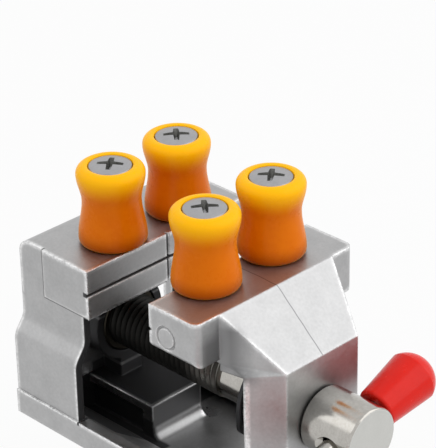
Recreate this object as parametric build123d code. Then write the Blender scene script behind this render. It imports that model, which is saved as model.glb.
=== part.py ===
"""Suction base vise with peg jaws.

A small die-cast aluminium vise on a lever-worked suction foot. The fixed jaw
and its bed are one hollow casting, and the movable jaw runs in a dovetail in
the bed, drawn by one lead screw with a tommy bar. Four waisted plastic pegs on
the jaw tops hold round work.

X runs along the jaws, Y from the handle towards the fixed jaw, Z up. The origin
is the centre of the suction pad's flat underside. All lengths are millimetres.
"""
import os
from math import cos, radians, sin

from build123d import *

# Fits and cutting overrun
fit_gap = 0.05
running_gap = 0.3
overrun = 2.0

# Opening between the grip faces
jaw_opening = 24.0

# Fixed jaw, hollow below its grip lip
jaw_width = 60.0
fixed_face_y = 16.0
fixed_depth = 28.4
top_plate = 6.0
lip_depth = 9.0
lip_height = 14.8
end_wall = 2.2
rear_wall = 4.0
wall_setback = 2.8
end_pad_length = 18.4
end_pad_proud = 0.6
waist_top_drop = 24.0
waist_bottom_drop = 29.0
window_inner = 14.5
window_outer = 24.0
window_top_drop = 19.0
window_sill = 3.0
waist_round = 5.0
rear_round = 4.0
edge_round = 1.2

# V grooves in both grip faces, one across and one upright
groove_drop = 7.4
groove_depth = 1.0
groove_mouth = 1.2

# Bed: shoulders each side of a dovetail trough
bed_half = 33.7
bed_front_y = -26.5
bed_flange = 7.3
shoulder_wall = 3.7
trough_depth = 15.0
trough_floor = 5.0
trough_half = 20.0
dovetail_height = 4.5
dovetail_lean = 2.5
dovetail_lip = 1.6
under_half = 18.5
bed_corner_round = 7.0

# Guide tongue standing in the trough under the fixed jaw
tongue_front_y = 14.5
tongue_height = 10.8
tongue_screw_gap = 9.7
tongue_half = 9.6
tongue_foot_half = 8.0
tongue_edge = 2.5
tongue_end = 4.0
tongue_end_round = 3.0

# Lead screw, its head and its thread
screw_drop = 33.5
screw_d = 16.0
screw_head_d = 18.4
screw_head_length = 17.0
screw_head_round = 0.8
screw_tail_chamfer = 1.4
screw_tail_y = 62.0
clip_groove_d = 13.6
cross_hole_gap = 0.1
cross_hole_chamfer = 0.8
tommy_sag = 0.55
bar_from_wall = 10.4

# Nut boss in the rear of the fixed jaw, and its pressed-in nut
boss_d = 25.0
boss_length = 11.4
nut_d = 20.0
nut_edge = 0.6
boss_web = 8.0

# Movable jaw: grip bar, sloping gusset and column
bar_depth = 17.5
bar_height = 13.4
bar_corner_round = 2.5
gusset_top_half = 21.5
gusset_bottom_half = 13.7
gusset_run = 16.5
gusset_drop = 14.6
ledge = 2.2
ledge_tilt = 45.0
column_half = 20.2
column_chamfer = 9.4
column_wall = 4.2
column_foot_gap = 10.5
column_neck_half = 16.8
column_boss_d = 27.0
column_rib = 4.0
column_rib_x = 9.5
foot_length = 26.0
runner_width = 2.9
runner_run = 44.0

# Retaining clip, a horseshoe in the screw's groove
clip_thick = 1.2
clip_outer_r = 14.4
clip_tip_drop = 4.4

# Tommy bar and its plastic grips
tommy_d = 6.0
tommy_tilt = 14.0
tommy_span = 42.0
grip_length = 20.6
grip_inner_d = 11.6
grip_outer_d = 14.8
grip_dome = 5.4
grip_dome_round = 0.9
grip_seat = 12.0
grip_stand_off = 0.3

# Jaw pegs and their screws
peg_d = 19.0
peg_waist_d = 16.3
peg_height = 22.9
peg_waist_height = 12.6
peg_rim = 2.2
peg_x = 12.35
fixed_peg_set = 8.5
moving_peg_set = 3.7
peg_bore_gap = 0.2
peg_recess_d = 13.2
peg_recess = 2.6
peg_edge_round = 0.8
peg_screw_d = 6.0
peg_screw_head_d = 12.0
peg_screw_head = 3.1
peg_screw_crown = 0.7
peg_screw_reach = 10.0
cross_slot_length = 6.6
cross_slot_width = 1.3
cross_slot_depth = 1.6
peg_boss_d = 12.0

# Suction foot: rubber pad under a bell housing
pad_r = 43.5
pad_thick = 5.0
pad_middle_thick = 4.0
pad_ring_inner_r = 36.0
pad_lip = 1.2
housing_r = 41.0
housing_rim = 4.0
housing_neck_r = 26.0
housing_neck_z = 24.0
housing_top_z = 41.0
housing_roof = 5.0
housing_wall = 3.2
housing_round = 5.0

# Cam shaft through the housing, with its bushes, lobe and pin
shaft_z = 21.0
shaft_d = 8.0
shaft_boss_d = 19.0
shaft_boss_x = 39.5
shaft_boss_inner_x = 19.0
bush_d = 12.0
bush_flange_d = 15.0
bush_flange = 1.4
shaft_clip_set = 1.4
shaft_clip_d = 13.0
shaft_clip_groove_d = 6.6
shaft_clip_thick = 1.0
cam_d = 16.0
cam_width = 11.0
cam_throw = 2.2
cam_start = 135.0
cam_pin_d = 3.0

# Yoke round the cam lobe, and the pad plate that it lifts
yoke_thick = 8.0
yoke_rim = 4.2
yoke_gap = 0.15
yoke_side_gap = 0.6
yoke_foot_half = 23.0
yoke_foot = 2.6
plate_r = 26.0
plate_thick = 2.0
yoke_screw_d = 4.0
yoke_screw_head_d = 7.0
yoke_screw_head = 2.2
yoke_screw_y = 19.0

# Suction lever
lever_hub_d = 18.0
lever_hub = 7.0
lever_length = 42.0
lever_tip_d = 10.0
lever_grip_length = 22.0
lever_grip_wall = 2.4
lever_grip_round = 2.2
lever_bolt_d = 4.0
lever_bolt_head_d = 9.0
lever_bolt_head = 2.6
lever_bolt_reach = 8.0

# Screws that hold the vise body on the housing
base_screw_d = 5.0
base_screw_head_d = 9.5
base_screw_head = 3.0
base_screw_x = 11.5
base_screw_y = 13.0
base_screw_reach = 4.4

# Heights worked out from the sizes above, as drops below the jaw tops
tongue_top_drop = screw_drop + screw_d / 2 + tongue_screw_gap
trough_drop = tongue_top_drop + tongue_height
bed_top_drop = trough_drop - trough_depth
window_bottom_drop = bed_top_drop - window_sill
jaw_top_z = housing_top_z + trough_floor + trough_drop

# Places worked out from the sizes above
jaw_half = jaw_width / 2
shoulder_inner = bed_half - shoulder_wall
fixed_rear_y = fixed_face_y + fixed_depth
rear_wall_y = fixed_rear_y - rear_wall
moving_face_y = fixed_face_y - jaw_opening
bar_front_y = moving_face_y - bar_depth
front_wall_y = bar_front_y - gusset_run
screw_z = jaw_top_z - screw_drop
bed_top_z = jaw_top_z - bed_top_drop
trough_z = jaw_top_z - trough_drop
under_z = trough_z - trough_floor
dovetail_z = trough_z + dovetail_height
dovetail_half = trough_half - dovetail_lean
fixed_peg_y = fixed_face_y + fixed_peg_set
moving_peg_y = moving_face_y - moving_peg_set
head_rear_y = front_wall_y - running_gap
head_front_y = head_rear_y - screw_head_length
tommy_y = front_wall_y - bar_from_wall
clip_y = bar_front_y + running_gap
boss_front_y = fixed_rear_y - boss_length
pad_lift = 2 * cam_throw * sin(radians(cam_start))
plate_z = pad_thick + pad_lift
yoke_foot_z = plate_z + plate_thick
shaft_end_x = shaft_boss_x + bush_flange + running_gap + shaft_clip_thick + shaft_clip_set
lever_face_x = shaft_boss_x + bush_flange + running_gap
lever_tip_y = lever_length - lever_tip_d / 2


def along_x(points, x_from, x_to):
    """Solid between two X planes from an outline of (Y, Z) points."""
    face = make_face(Polyline([(x_from, y, z) for y, z in points], close=True))
    return extrude(face, amount=x_to - x_from, dir=(1, 0, 0))


def along_y(points, y_from, y_to):
    """Solid between two Y planes from an outline of (X, Z) points."""
    face = make_face(Polyline([(x, y_from, z) for x, z in points], close=True))
    return extrude(face, amount=y_to - y_from, dir=(0, 1, 0))


def along_z(points, z_from, z_to):
    """Solid between two Z planes from an outline of (X, Y) points."""
    face = make_face(Polyline([(x, y, z_from) for x, y in points], close=True))
    return extrude(face, amount=z_to - z_from, dir=(0, 0, 1))


def block(x_from, x_to, y_from, y_to, z_from, z_to):
    """Rectangular block between its limits."""
    size = (x_to - x_from, y_to - y_from, z_to - z_from)
    middle = ((x_from + x_to) / 2, (y_from + y_to) / 2, (z_from + z_to) / 2)
    return Pos(*middle) * Box(*size)


def rod_x(d, x_from, x_to, y, z):
    """Round bar along X."""
    return Pos((x_from + x_to) / 2, y, z) * Rot(0, 90, 0) * Cylinder(d / 2, x_to - x_from)


def rod_y(d, y_from, y_to, x, z):
    """Round bar along Y."""
    return Pos(x, (y_from + y_to) / 2, z) * Rot(90, 0, 0) * Cylinder(d / 2, y_to - y_from)


def rod_z(d, z_from, z_to, x, y):
    """Round bar along Z."""
    return Pos(x, y, (z_from + z_to) / 2) * Cylinder(d / 2, z_to - z_from)


def mirrored(points):
    """Outline made whole from its right half, listed from one end of X = 0 side to the other."""
    return points + [(-x, z) for x, z in reversed(points)]


def turned(points):
    """Solid of revolution about Z from (radius, Z) points."""
    face = make_face(Polyline([(r, 0, z) for r, z in points], close=True))
    return revolve(face, Axis.Z)


def grip_grooves(face_y, inward):
    """V grooves cut across and up a grip face, inward being the sign of Y into the metal."""
    z_mid = jaw_top_z - groove_drop
    deep_y = face_y + inward * groove_depth
    out_y = face_y - inward * groove_depth
    across = along_x([(deep_y, z_mid), (out_y, z_mid + groove_mouth), (out_y, z_mid - groove_mouth)],
                     -jaw_half - overrun, jaw_half + overrun)
    upright = along_z([(0, deep_y), (groove_mouth, out_y), (-groove_mouth, out_y)],
                      jaw_top_z - lip_height - overrun, jaw_top_z + overrun)
    return across + upright


def bed():
    """Shoulders and dovetail trough, one profile along Y."""
    lip_z = dovetail_z + dovetail_lip
    right = [
        (0, under_z),
        (under_half, under_z),
        (bed_half, bed_top_z - bed_flange),
        (bed_half, bed_top_z),
        (shoulder_inner, bed_top_z),
        (dovetail_half, lip_z),
        (dovetail_half, dovetail_z),
        (trough_half, trough_z),
        (0, trough_z),
    ]
    solid = along_y(mirrored(right[1:-1]), bed_front_y, fixed_rear_y)
    corners = solid.edges().filter_by(Axis.Z).filter_by_position(
        Axis.Y, bed_front_y - fit_gap, bed_front_y + fit_gap).sort_by(Axis.X)
    return fillet([corners[0], corners[-1]], bed_corner_round)


def fixed_jaw_shell():
    """Hollow fixed jaw: end walls with a stepped waist, lip, top plate and rear wall."""
    face_x = jaw_half - end_pad_proud
    waist_top_z = jaw_top_z - waist_top_drop
    waist_bottom_z = jaw_top_z - waist_bottom_drop
    inner_x = face_x - end_wall
    low_x = bed_half - end_pad_proud
    low_z, high_z = bed_top_z - bed_flange / 2, jaw_top_z - top_plate / 2
    skin = [(low_x, low_z), (low_x, waist_bottom_z), (face_x, waist_top_z), (face_x, high_z)]
    lining = [(x - end_wall, z) for x, z in reversed(skin)]
    walls = along_y(skin + lining, fixed_face_y + wall_setback, fixed_rear_y)
    waist = walls.edges().filter_by(Axis.Y).filter_by_position(
        Axis.Z, waist_bottom_z - fit_gap, waist_top_z + fit_gap)
    walls = fillet(waist, waist_round)
    shell = walls + mirror(walls, Plane.YZ)
    plate = block(-face_x, face_x, fixed_face_y, fixed_rear_y, jaw_top_z - top_plate, jaw_top_z)
    lip = block(-face_x, face_x, fixed_face_y, fixed_face_y + lip_depth,
                jaw_top_z - lip_height, jaw_top_z)
    pads = block(-jaw_half, jaw_half, fixed_face_y, fixed_face_y + end_pad_length,
                 jaw_top_z - top_plate, jaw_top_z)
    for side in (-1, 1):
        outer, inner = side * jaw_half, side * inner_x
        pads += block(min(outer, inner), max(outer, inner), fixed_face_y,
                      fixed_face_y + end_pad_length, jaw_top_z - lip_height, jaw_top_z)
    middle = [(x - end_wall / 2, z) for x, z in skin]
    back = along_y(mirrored(middle), rear_wall_y, fixed_rear_y)
    for side in (-1, 1):
        left, right = sorted((side * window_inner, side * window_outer))
        back -= block(left, right, rear_wall_y - overrun, fixed_rear_y + overrun,
                      jaw_top_z - window_bottom_drop, jaw_top_z - window_top_drop)
    shell = shell + plate + lip + pads + back
    rear_edge = shell.edges().filter_by(Axis.X).filter_by_position(
        Axis.Y, fixed_rear_y - fit_gap, fixed_rear_y + fit_gap).filter_by_position(
        Axis.Z, jaw_top_z - fit_gap, jaw_top_z + fit_gap)
    return fillet(rear_edge, rear_round)


def nut_boss():
    """Boss that holds the nut, carried by a web between tongue and top plate."""
    boss = rod_y(boss_d, boss_front_y, fixed_rear_y, 0, screw_z)
    web = block(-boss_web / 2, boss_web / 2, boss_front_y, fixed_rear_y,
                jaw_top_z - tongue_top_drop - tongue_edge / 2, jaw_top_z - top_plate / 2)
    return boss + web


def tongue():
    """T-shaped guide tongue on the trough floor, its front end solid down to the floor."""
    top_z = jaw_top_z - tongue_top_drop
    edge_z = top_z - tongue_edge
    low_z = trough_z - trough_floor / 2
    right = [
        (tongue_foot_half, low_z),
        (tongue_foot_half, edge_z),
        (tongue_half, edge_z),
        (tongue_half, top_z),
    ]
    end_y = tongue_front_y + tongue_end
    end = block(-tongue_half, tongue_half, tongue_front_y, end_y, low_z, top_z)
    toe_y = tongue_front_y - tongue_end_round
    toe = block(-tongue_half, tongue_half, toe_y, end_y, low_z, trough_z + tongue_end_round)
    toe -= rod_x(2 * tongue_end_round, -tongue_half - overrun, tongue_half + overrun,
                 toe_y, trough_z + tongue_end_round)
    return along_y(mirrored(right), tongue_front_y, fixed_rear_y) + end + toe


def vise_body():
    """Fixed jaw and bed, one die casting."""
    body = bed() + fixed_jaw_shell() + tongue() + nut_boss()
    for x in (-peg_x, peg_x):
        body += rod_z(peg_boss_d, jaw_top_z - lip_height, jaw_top_z - top_plate / 2, x, fixed_peg_y)
    body -= grip_grooves(fixed_face_y, 1)
    body -= rod_y(nut_d + 2 * fit_gap, boss_front_y - overrun, fixed_rear_y + overrun, 0, screw_z)
    for x in (-peg_x, peg_x):
        body -= rod_z(peg_screw_d + 2 * fit_gap, jaw_top_z - lip_height - overrun,
                      jaw_top_z + overrun, x, fixed_peg_y)
    hole_top = under_z + base_screw_reach + fit_gap
    for x, y in base_screw_places():
        body -= rod_z(base_screw_d + 2 * fit_gap, under_z - overrun, hole_top, x, y)
    return body


def movable_jaw():
    """Grip bar, sloping gusset, bent column and dovetail foot, one die casting."""
    bar = block(-jaw_half, jaw_half, bar_front_y, moving_face_y, jaw_top_z - bar_height, jaw_top_z)
    front = bar.edges().filter_by(Axis.Z).sort_by(Axis.Y)[:2]
    low = bar.edges().filter_by(Axis.Y).sort_by(Axis.Z)[:2]
    bar = fillet(front + low, bar_corner_round)

    gusset_z = jaw_top_z - gusset_drop
    gusset = along_z([(-gusset_top_half, bar_front_y), (gusset_top_half, bar_front_y),
                      (gusset_bottom_half, front_wall_y), (-gusset_bottom_half, front_wall_y)],
                     gusset_z, jaw_top_z)
    above = along_x([(bar_front_y, jaw_top_z), (front_wall_y, gusset_z),
                     (front_wall_y - overrun, gusset_z), (front_wall_y - overrun, jaw_top_z + overrun),
                     (bar_front_y, jaw_top_z + overrun)],
                    -jaw_half, jaw_half)
    gusset -= above
    back_y = bar_front_y + edge_round
    gusset += block(-gusset_top_half, gusset_top_half, bar_front_y, back_y,
                    gusset_z, jaw_top_z - bar_height + edge_round)

    chamfer_y = front_wall_y + column_chamfer
    outer = [(-column_half, chamfer_y), (-gusset_bottom_half, front_wall_y),
             (gusset_bottom_half, front_wall_y), (column_half, chamfer_y)]
    shelf = along_z(outer + [(gusset_top_half, bar_front_y), (-gusset_top_half, bar_front_y)],
                    gusset_z - ledge, gusset_z)
    column_bottom = jaw_top_z - trough_drop + column_foot_gap
    inner_half = column_half - column_wall * 2 ** 0.5
    inner_bottom = gusset_bottom_half - column_wall / 2
    column = along_z(outer, column_bottom, gusset_z)
    column -= along_z([(-inner_half, chamfer_y + overrun), (-inner_half, chamfer_y),
                       (-inner_bottom, front_wall_y + column_wall),
                       (inner_bottom, front_wall_y + column_wall),
                       (inner_half, chamfer_y), (inner_half, chamfer_y + overrun)],
                      column_bottom - overrun, gusset_z - ledge)

    foot_top = dovetail_z - running_gap
    neck = block(-column_neck_half, column_neck_half, front_wall_y, bar_front_y - column_wall,
                 foot_top - edge_round, column_bottom + edge_round)
    bearing = rod_y(column_boss_d, front_wall_y, bar_front_y, 0, screw_z)
    ribs = Part()
    for x in (-column_rib_x, column_rib_x):
        ribs += block(x - column_rib / 2, x + column_rib / 2, front_wall_y + column_wall / 2,
                      bar_front_y, column_bottom, gusset_z - ledge / 2)

    lower = shelf + column
    for side in (-1, 1):
        lower = split(lower, bisect_by=ledge_plane(side, gusset_z), keep=Keep.BOTTOM)
    jaw = bar + gusset + lower + neck + bearing + ribs + foot(foot_top)
    jaw -= grip_grooves(moving_face_y, -1)
    jaw -= rod_y(screw_d + 2 * fit_gap, front_wall_y - overrun, bar_front_y + overrun, 0, screw_z)
    for x in (-peg_x, peg_x):
        jaw -= rod_z(peg_screw_d + 2 * fit_gap, jaw_top_z - bar_height - overrun,
                     jaw_top_z + overrun, x, moving_peg_y)
    return jaw


def ledge_plane(side, top_z):
    """Sloping plane of the ledge beside the gusset, its normal up and outwards."""
    inward, forward = gusset_top_half - gusset_bottom_half, gusset_run
    length = (inward ** 2 + forward ** 2) ** 0.5
    tilt = radians(ledge_tilt)
    normal = (side * forward / length * sin(tilt), -inward / length * sin(tilt), cos(tilt))
    return Plane(origin=(side * gusset_bottom_half, front_wall_y, top_z), z_dir=normal)


def foot(top_z):
    """Dovetail foot of the movable jaw, with a thin runner in each undercut behind it."""
    bottom_z = trough_z + running_gap
    lean = dovetail_lean * (top_z - bottom_z) / dovetail_height
    half = trough_half - running_gap * 1.5
    right = [(half, bottom_z), (half - lean, top_z)]
    tail_y = front_wall_y + runner_run
    solid = along_y(mirrored(right), front_wall_y, tail_y)
    inner = half - runner_width
    return solid - block(-inner, inner, front_wall_y + foot_length, tail_y + overrun,
                         bottom_z - overrun, top_z + overrun)


def lead_screw():
    """Screw blank: round head with a cross hole, plain neck, clip groove and tail."""
    head = rod_y(screw_head_d, head_front_y, head_rear_y, 0, screw_z)
    head = fillet(head.edges().filter_by(GeomType.CIRCLE), screw_head_round)
    shank = rod_y(screw_d, head_rear_y - overrun, screw_tail_y, 0, screw_z)
    tail = shank.edges().filter_by(GeomType.CIRCLE).sort_by(Axis.Y)[-1]
    shank = chamfer(tail, screw_tail_chamfer)
    groove = rod_y(screw_head_d, clip_y - fit_gap, clip_y + clip_thick + fit_gap, 0, screw_z)
    groove -= rod_y(clip_groove_d, clip_y - overrun, clip_y + clip_thick + overrun, 0, screw_z)
    hole = tommy_rod(tommy_d + 2 * cross_hole_gap, -screw_head_d, screw_head_d)
    screw = head + shank - groove - hole
    for side in (-1, 1):
        screw -= cross_hole_mouth(side)
    return screw


def on_tommy_line(shape):
    """Places a shape made about the X axis on the tommy bar's tilted line."""
    return Pos(0, tommy_y, screw_z) * Rot(0, -tommy_tilt, 0) * shape


def tommy_rod(d, start, end):
    """Round bar on the tommy bar's line, from start to end along it."""
    rod = Pos((start + end) / 2, 0, 0) * Rot(0, 90, 0) * Cylinder(d / 2, end - start)
    return on_tommy_line(rod)


def cross_hole_mouth(side):
    """Countersink at one mouth of the cross hole, to cut away."""
    hole_r = tommy_d / 2 + cross_hole_gap
    depth = cross_hole_chamfer + overrun
    cone = Cone(hole_r, hole_r + depth, depth)
    start = screw_head_d / 2 - cross_hole_chamfer - tommy_sag
    return on_tommy_line(Rot(0, side * 90, 0) * Pos(0, 0, start + depth / 2) * cone)


def tommy_stop():
    """Distance from the screw's axis to the grip that rests against the head."""
    return screw_head_d / 2 + grip_stand_off


def tommy_bar():
    """Bar between and into the two grips, slid down to its right-hand stop."""
    right = tommy_stop() + grip_seat
    return tommy_rod(tommy_d, right - tommy_span - 2 * grip_seat, right)


def bar_grip(side):
    """Moulded grip, wider at its domed outer end."""
    seat_r = tommy_d / 2 + fit_gap
    straight = grip_length - grip_dome
    r = grip_outer_d / 2
    dome_r = (r * r + grip_dome ** 2) / (2 * grip_dome)
    with BuildSketch(Plane.XZ) as outline:
        with BuildLine():
            Polyline((0, grip_length), (0, 0), (grip_inner_d / 2, 0), (r, straight))
            RadiusArc((r, straight), (0, grip_length), -dome_r)
        make_face()
    body = revolve(outline.sketch, Axis.Z)
    ends = body.edges().filter_by(GeomType.CIRCLE).sort_by(Axis.Z)
    body = fillet([ends[0], ends[-1]], grip_dome_round)
    body -= rod_z(2 * seat_r, -overrun, grip_seat + fit_gap, 0, 0)
    near = tommy_stop() if side > 0 else tommy_stop() - tommy_span
    return on_tommy_line(Pos(near, 0, 0) * Rot(0, 90 * side, 0) * body)


def retaining_clip():
    """Horseshoe clip with round tips, open downwards."""
    inner_r = clip_groove_d / 2 + fit_gap
    arm = clip_outer_r - inner_r
    plate = rod_y(2 * clip_outer_r, 0, clip_thick, 0, 0)
    plate -= block(-clip_outer_r - overrun, clip_outer_r + overrun, -overrun, clip_thick + overrun,
                   -clip_outer_r - overrun, 0)
    for side in (-1, 1):
        middle = side * (inner_r + arm / 2)
        left, right = middle - arm / 2, middle + arm / 2
        plate += block(left, right, 0, clip_thick, -clip_tip_drop, 0)
        plate += rod_y(arm, 0, clip_thick, middle, -clip_tip_drop)
    plate -= rod_y(2 * inner_r, -overrun, clip_thick + overrun, 0, 0)
    plate -= block(-inner_r, inner_r, -overrun, clip_thick + overrun,
                   -clip_outer_r - overrun, 0)
    return Pos(0, clip_y, screw_z) * plate


def screw_nut():
    """Round nut pressed into the boss from the front, flush at both ends."""
    nut = rod_y(nut_d, boss_front_y, fixed_rear_y, 0, screw_z)
    nut = chamfer(nut.edges().filter_by(GeomType.CIRCLE), nut_edge)
    return nut - rod_y(screw_d + 2 * fit_gap, boss_front_y - overrun, fixed_rear_y + overrun,
                       0, screw_z)


def peg(x, y):
    """Waisted peg with a recess for its screw head."""
    r, waist = peg_d / 2, peg_waist_d / 2
    with BuildSketch(Plane.XZ) as outline:
        with BuildLine():
            Polyline((0, peg_height), (0, 0), (r, 0), (r, peg_rim / 2))
            Spline((r, peg_rim / 2), (waist, peg_waist_height), (r, peg_height - peg_rim),
                   tangents=((0, 1), (0, 1)))
            Polyline((r, peg_height - peg_rim), (r, peg_height), (0, peg_height))
        make_face()
    body = revolve(outline.sketch, Axis.Z)
    rims = body.edges().filter_by(GeomType.CIRCLE).filter_by(
        lambda e: e.radius > waist).sort_by(Axis.Z)
    body = fillet([rims[0], rims[-1]], peg_edge_round)
    body -= rod_z(peg_recess_d, peg_height - peg_recess, peg_height + overrun, 0, 0)
    body -= rod_z(peg_screw_d + 2 * peg_bore_gap, -overrun, peg_height, 0, 0)
    return Pos(x, y, jaw_top_z) * body


def peg_screw(x, y):
    """Crowned cross-recess screw that clamps a peg to its jaw."""
    seat_z = jaw_top_z + peg_height - peg_recess
    r = peg_screw_head_d / 2
    side = peg_screw_head - peg_screw_crown
    crown_r = (r * r + peg_screw_crown ** 2) / (2 * peg_screw_crown)
    with BuildSketch(Plane.XZ) as outline:
        with BuildLine():
            Polyline((0, peg_screw_head), (0, 0), (r, 0), (r, side))
            RadiusArc((r, side), (0, peg_screw_head), -crown_r)
        make_face()
    head = Pos(x, y, seat_z) * revolve(outline.sketch, Axis.Z)
    slot_z = seat_z + peg_screw_head - cross_slot_depth
    half_l, half_w = cross_slot_length / 2, cross_slot_width / 2
    for a, b in ((half_l, half_w), (half_w, half_l)):
        head -= block(x - a, x + a, y - b, y + b, slot_z, seat_z + peg_screw_head + overrun)
    shank = rod_z(peg_screw_d, jaw_top_z - peg_screw_reach, seat_z, x, y)
    return head + shank


def peg_screws(y):
    """The two peg screws of one jaw."""
    return Compound([peg_screw(-peg_x, y), peg_screw(peg_x, y)])


def base_screw_places():
    """Centres of the screws between housing and bed."""
    return [(x, y) for x in (-base_screw_x, base_screw_x) for y in (-base_screw_y, base_screw_y)]


def base_screws():
    """Pan head screws driven up through the housing roof."""
    roof_z = housing_top_z - housing_roof
    screws = []
    for x, y in base_screw_places():
        head = rod_z(base_screw_head_d, roof_z - base_screw_head, roof_z, x, y)
        shank = rod_z(base_screw_d, roof_z, housing_top_z + base_screw_reach, x, y)
        screws.append(head + shank)
    return Compound(screws)


def bell(offset):
    """Bell turned about Z, its surface drawn in by offset from the outer one."""
    rim_r, neck_r = housing_r - offset, housing_neck_r - offset
    low_z, top_z = pad_thick - offset, housing_top_z
    if offset:
        top_z -= housing_roof
    with BuildSketch(Plane.XZ) as outline:
        with BuildLine():
            FilletPolyline((rim_r, low_z), (rim_r, pad_thick + housing_rim),
                           (neck_r, housing_neck_z), (neck_r, top_z), radius=housing_round)
            Polyline((neck_r, top_z), (0, top_z), (0, low_z), (rim_r, low_z))
        make_face()
    return revolve(outline.sketch, Axis.Z)


def base_housing():
    """Bell housing with a shaft boss each side."""
    outer = bell(0)
    outer += rod_x(shaft_boss_d, -shaft_boss_x, shaft_boss_x, 0, shaft_z)
    inner_half = shaft_boss_inner_x
    cavity = bell(housing_wall)
    cavity -= rod_x(shaft_boss_d, -shaft_boss_x, -inner_half, 0, shaft_z)
    cavity -= rod_x(shaft_boss_d, inner_half, shaft_boss_x, 0, shaft_z)
    housing = outer - cavity
    housing -= rod_x(bush_d + 2 * fit_gap, -shaft_boss_x - overrun, shaft_boss_x + overrun, 0, shaft_z)
    for x, y in base_screw_places():
        housing -= rod_z(base_screw_d + 2 * fit_gap, housing_top_z - housing_roof - overrun,
                         housing_top_z + overrun, x, y)
    return housing


def suction_pad():
    """Rubber disc on a flat sealing ring, its middle drawn up by the locked lever."""
    hollow_top = plate_z - pad_middle_thick
    return turned([
        (0, hollow_top),
        (plate_r, hollow_top),
        (pad_ring_inner_r, 0),
        (pad_r - pad_lip, 0),
        (pad_r, pad_lip),
        (pad_r, pad_thick - pad_lip),
        (pad_r - pad_lip, pad_thick),
        (pad_ring_inner_r, pad_thick),
        (plate_r + pad_lip, plate_z),
        (0, plate_z),
    ])


def shaft_bush(side):
    """Flanged bush in one shaft boss."""
    inner, outer = side * shaft_boss_inner_x, side * shaft_boss_x
    flange_x = outer + side * bush_flange
    bush = rod_x(bush_d, min(inner, outer), max(inner, outer), 0, shaft_z)
    bush += rod_x(bush_flange_d, min(outer, flange_x), max(outer, flange_x), 0, shaft_z)
    return bush - rod_x(shaft_d + 2 * fit_gap, min(inner, flange_x) - overrun,
                        max(inner, flange_x) + overrun, 0, shaft_z)


def cam_shaft():
    """Shaft with a clip groove at one end and a tapped lever end."""
    end_x = lever_face_x + lever_hub
    shaft = rod_x(shaft_d, -shaft_end_x, end_x, 0, shaft_z)
    clip_x = -shaft_end_x + shaft_clip_set
    groove = rod_x(shaft_d + overrun, clip_x - fit_gap, clip_x + shaft_clip_thick + fit_gap, 0, shaft_z)
    groove -= rod_x(shaft_clip_groove_d, clip_x - overrun, clip_x + shaft_clip_thick + overrun,
                    0, shaft_z)
    shaft -= groove
    shaft -= rod_x(lever_bolt_d + 2 * fit_gap, end_x - lever_bolt_reach - fit_gap,
                   end_x + overrun, 0, shaft_z)
    return shaft - cam_pin_hole(cam_pin_d + 2 * fit_gap)


def cam_pin_hole(d):
    """Cross pin's line through shaft and lobe."""
    reach = cam_d / 2 + cam_throw
    rod = Cylinder(d / 2, 2 * reach)
    return Pos(0, 0, shaft_z) * Rot(cam_start - 90, 0, 0) * rod


def cam_disc(d, width):
    """Eccentric disc about the cam's own centre."""
    angle = radians(cam_start)
    centre_y, centre_z = cam_throw * cos(angle), shaft_z + cam_throw * sin(angle)
    return rod_x(d, -width / 2, width / 2, centre_y, centre_z)


def cam_lobe():
    """Eccentric lobe pinned on the shaft."""
    lobe = cam_disc(cam_d, cam_width)
    lobe -= rod_x(shaft_d + 2 * fit_gap, -cam_width, cam_width, 0, shaft_z)
    return lobe - cam_pin_hole(cam_pin_d + 2 * fit_gap)


def cam_pin():
    """Pin through lobe and shaft, flush with the lobe."""
    return cam_pin_hole(cam_pin_d) & cam_disc(cam_d - fit_gap, cam_width)


def shaft_clip():
    """Ring that keeps the shaft from drawing out."""
    x = -shaft_end_x + shaft_clip_set
    ring = rod_x(shaft_clip_d, x, x + shaft_clip_thick, 0, shaft_z)
    ring -= rod_x(shaft_clip_groove_d + 2 * fit_gap, x - overrun, x + overrun, 0, shaft_z)
    slot = shaft_clip_groove_d / 2
    return ring - block(x - overrun, x + overrun, -slot, slot, shaft_z - shaft_clip_d, shaft_z)


def pull_yoke():
    """Yoke whose window holds the lobe, on a foot plate."""
    angle = radians(cam_start)
    sway = cam_throw * (1 - sin(angle)) / 2
    y = cam_throw * cos(angle) - sway
    z = shaft_z + cam_throw * sin(angle)
    half_h = cam_d / 2 + yoke_gap
    half_w = cam_d / 2 + sway + yoke_side_gap
    rim = block(-yoke_thick / 2, yoke_thick / 2, y - half_w - yoke_rim, y + half_w + yoke_rim,
                yoke_foot_z, z + half_h + yoke_rim)
    rim = fillet(rim.edges().filter_by(Axis.X).sort_by(Axis.Z)[2:], yoke_rim)
    rim -= block(-yoke_thick, yoke_thick, y - half_w, y + half_w, z - half_h, z + half_h)
    yoke = rim + block(-yoke_thick, yoke_thick, -yoke_foot_half, yoke_foot_half,
                       yoke_foot_z, yoke_foot_z + yoke_foot)
    for y_screw in (-yoke_screw_y, yoke_screw_y):
        yoke -= rod_z(yoke_screw_d + 2 * fit_gap, yoke_foot_z - overrun,
                      yoke_foot_z + yoke_foot + overrun, 0, y_screw)
    return yoke


def yoke_screws():
    """Screws that hold the yoke on the pad plate."""
    top_z = yoke_foot_z + yoke_foot
    screws = []
    for y in (-yoke_screw_y, yoke_screw_y):
        head = rod_z(yoke_screw_head_d, top_z, top_z + yoke_screw_head, 0, y)
        screws.append(head + rod_z(yoke_screw_d, plate_z, top_z, 0, y))
    return Compound(screws)


def pad_plate():
    """Steel plate on the pad's upper face."""
    plate = rod_z(2 * plate_r, plate_z, yoke_foot_z, 0, 0)
    for y in (-yoke_screw_y, yoke_screw_y):
        plate -= rod_z(yoke_screw_d + 2 * fit_gap, plate_z - overrun, yoke_foot_z + overrun, 0, y)
    return plate


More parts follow.
